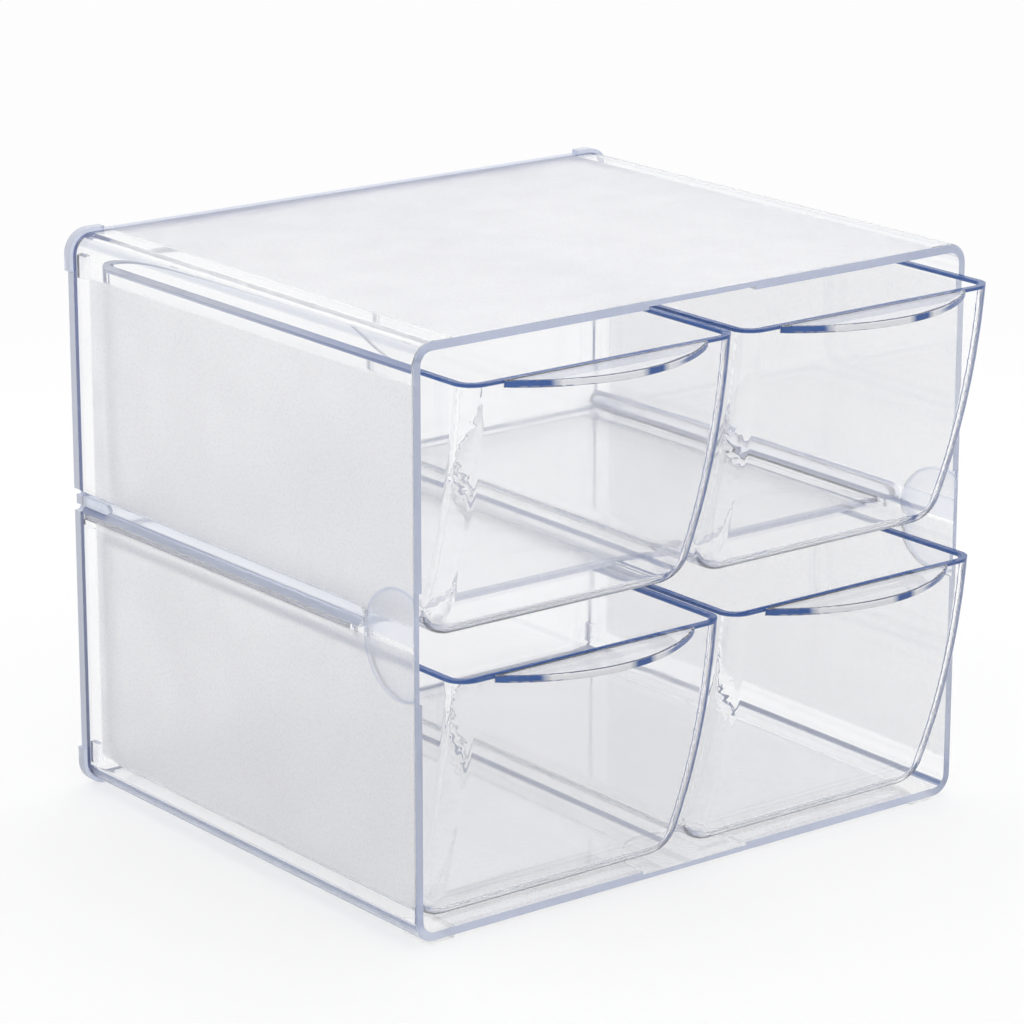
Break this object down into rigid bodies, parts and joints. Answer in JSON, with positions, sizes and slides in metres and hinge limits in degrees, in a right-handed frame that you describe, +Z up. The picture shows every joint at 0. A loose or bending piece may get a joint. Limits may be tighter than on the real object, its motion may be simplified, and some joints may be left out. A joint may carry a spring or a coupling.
{
  "type": "desktop drawer box",
  "caption": "Clear plastic desktop box with a frosted housing, a middle shelf and pull-out drawers, each with a crescent pull lip along its rim, for make-up and other small things.",
  "frame": {"origin": "middle of the box's width and depth, pull lips included, on the plane of its feet", "axes": "+Z up, -Y out of the drawer fronts, +X to the right as seen from the front"},
  "size_m": [0.1832, 0.181, 0.1556],
  "materials": {
    "frosted_clear": "satin",
    "crystal_clear": "gloss"
  },
  "bodies": {
    "housing": {"housing_shell": "frosted_clear", "back_panel": "frosted_clear", "mid_shelf": "frosted_clear"},
    "upper_left": {"upper_left_drawer": "crystal_clear"},
    "upper_right": {"upper_right_drawer": "crystal_clear"},
    "lower_left": {"lower_left_drawer": "crystal_clear"},
    "lower_right": {"lower_right_drawer": "crystal_clear"}
  },
  "joints": [
    {"name": "upper_left_slide", "type": "slide", "parent": "housing", "child": "upper_left", "axis": [0, -1, 0], "range_m": [-0.0036, 0.1]},
    {"name": "upper_right_slide", "type": "slide", "parent": "housing", "child": "upper_right", "axis": [0, -1, 0], "range_m": [-0.0036, 0.1]},
    {"name": "lower_left_slide", "type": "slide", "parent": "housing", "child": "lower_left", "axis": [0, -1, 0], "range_m": [0, 0.1]},
    {"name": "lower_right_slide", "type": "slide", "parent": "housing", "child": "lower_right", "axis": [0, -1, 0], "range_m": [0, 0.1]}
  ]
}
